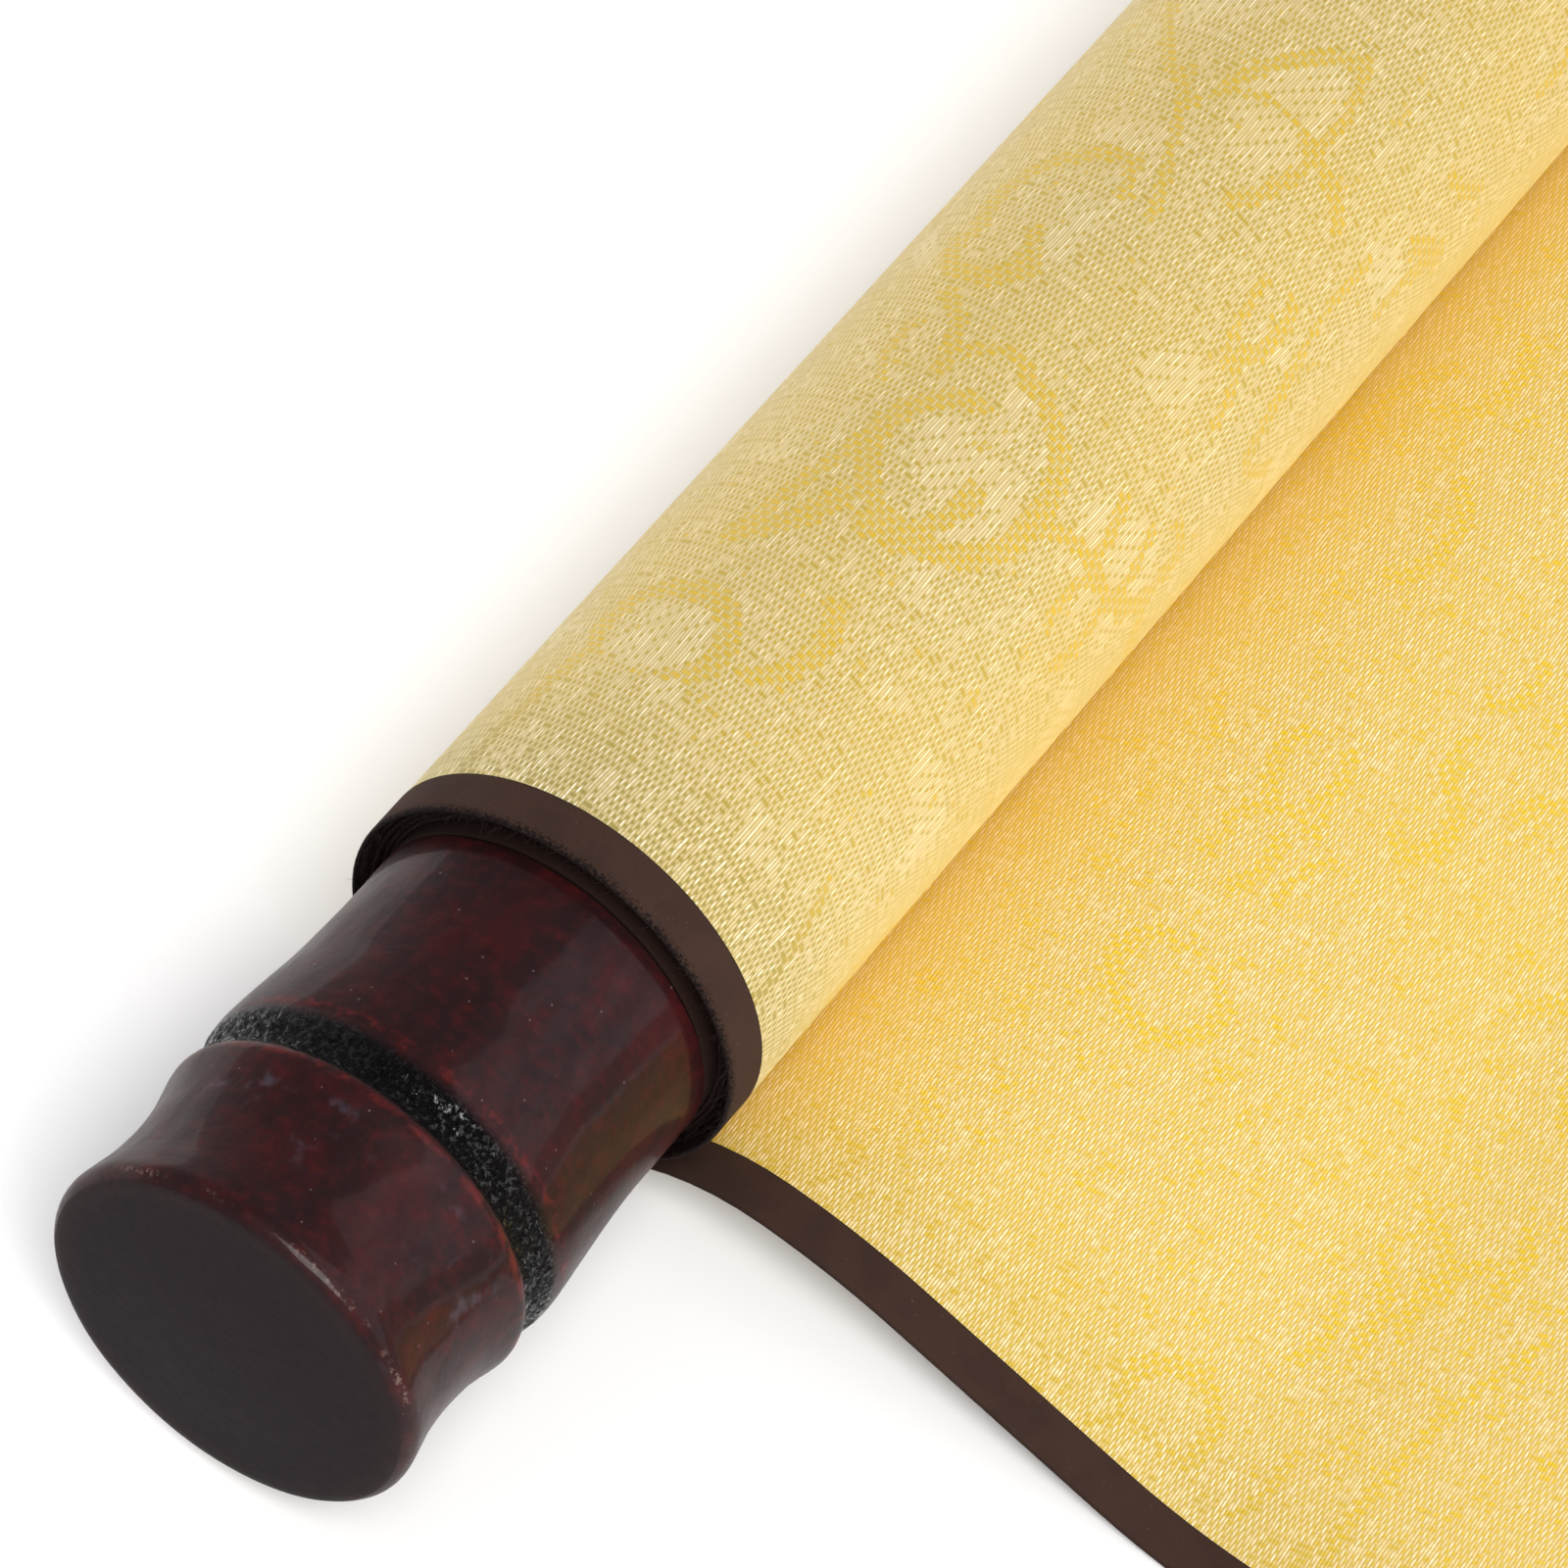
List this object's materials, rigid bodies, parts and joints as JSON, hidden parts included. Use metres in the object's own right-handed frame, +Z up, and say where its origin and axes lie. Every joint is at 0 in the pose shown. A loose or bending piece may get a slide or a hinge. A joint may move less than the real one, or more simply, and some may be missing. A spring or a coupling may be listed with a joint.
{
  "type": "hanging scroll",
  "caption": "Blank hanging scroll lying mostly rolled up: silk-mounted paper with dark edge tape on a wooden roller, turned lacquered bamboo-joint knobs and a flat stave in its free end.",
  "frame": {"origin": "middle of the footprint, on the surface that the scroll lies on", "axes": "+X along the roller towards the far knob, -Y towards the sheet's free top end, +Z up"},
  "size_m": [0.3426, 0.196, 0.0262],
  "materials": {
    "bare_wood": "planed softwood",
    "lacquered_wood": "dark red-brown lacquer",
    "damask_silk": "pale yellow woven silk pasted on paper",
    "edge_tape": "matt dark brown",
    "brass_wire": "drawn wire, dull"
  },
  "bodies": {
    "root": {"roller_rod": "bare_wood", "knob_near": "lacquered_wood", "knob_far": "lacquered_wood", "mounted_sheet": "damask_silk", "top_stave": "bare_wood", "edge_tape_near": "edge_tape", "edge_tape_far": "edge_tape", "eyelet_left": "brass_wire", "eyelet_right": "brass_wire"}
  },
  "joints": []
}
